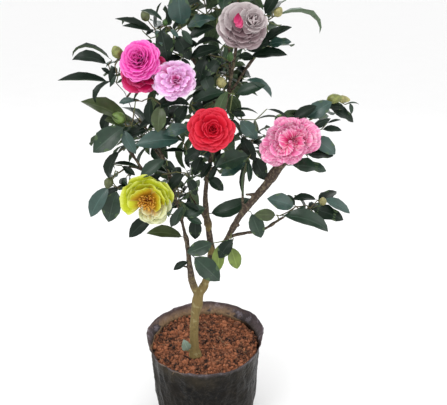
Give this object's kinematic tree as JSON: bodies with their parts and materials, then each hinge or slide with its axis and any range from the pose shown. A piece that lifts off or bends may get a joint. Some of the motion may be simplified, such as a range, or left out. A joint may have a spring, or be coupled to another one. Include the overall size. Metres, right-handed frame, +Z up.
{
  "type": "potted camellia shrub",
  "caption": "Young camellia shrub with an open leafy crown and large double blooms, in a soft nursery bag of soil.",
  "frame": {"origin": "centre of the bag's flat underside", "axes": "+Z up the trunk, +X to the right and +Y to the back, seen from the side the large blooms face"},
  "size_m": [0.478, 0.268, 0.84],
  "materials": {
    "bag_film": "soft black film, wrinkled, satin",
    "soil": "damp reddish brown granular soil",
    "bark": "smooth olive brown bark",
    "leaf_dark": "glossy evergreen leaves",
    "leaf_young": "young leaves and bud scales, satin",
    "petal_magenta": "soft petals",
    "petal_lilac": "soft petals",
    "petal_blush": "soft petals",
    "petal_red": "soft petals",
    "petal_pink": "soft petals",
    "petal_yellow": "soft petals"
  },
  "bodies": {
    "root": {"back_core_bough": "bark", "back_left_bough": "bark", "back_low_bough": "bark", "back_right_bough": "bark", "back_top_bough": "bark", "bag": "bag_film", "basal_shoot": "bark", "centre_bloom_stalk": "bark", "centre_stem": "bark", "far_right_bough": "bark", "foliage_back_core": "leaf_dark", "foliage_back_left": "leaf_dark", "foliage_back_low": "leaf_dark", "foliage_back_middle": "leaf_dark", "foliage_back_right": "leaf_dark", "foliage_back_top": "leaf_dark", "foliage_back_upper_left": "leaf_dark", "foliage_basal_leaf": "leaf_dark", "foliage_centre_bloom": "petal_red", "foliage_centre_left": "leaf_dark", "foliage_centre_right": "leaf_dark", "foliage_crown_top": "leaf_dark", "foliage_far_right": "leaf_dark", "foliage_fork_leaves": "leaf_young", "foliage_inner_right": "leaf_dark", "foliage_left_bloom": "petal_magenta", "foliage_left_fan": "leaf_dark", "foliage_left_shelf": "leaf_dark", "foliage_low_bloom": "petal_yellow", "foliage_low_branch_leaves": "leaf_dark", "foliage_low_left_leaves": "leaf_dark", "foliage_lower_left": "leaf_dark", "foliage_lower_middle": "leaf_dark", "foliage_lower_right": "leaf_dark", "foliage_middle_bloom": "petal_lilac", "foliage_right_bloom": "petal_pink", "foliage_top_bloom": "petal_blush", "foliage_top_left": "leaf_dark", "foliage_top_middle": "leaf_dark", "foliage_top_right": "leaf_dark", "foliage_under_bloom": "leaf_dark", "foliage_upper_core": "leaf_dark", "foliage_upper_right": "leaf_dark", "fork_shoot": "bark", "inner_right_shoot": "bark", "left_side_shoot": "bark", "left_stem": "bark", "low_left_shoot": "bark", "low_right_bough": "bark", "lower_left_bough": "bark", "right_bough": "bark", "soil": "soil", "top_bloom_stalk": "bark", "top_left_bough": "bark", "top_right_bough": "bark", "trunk": "bark"}
  },
  "joints": []
}
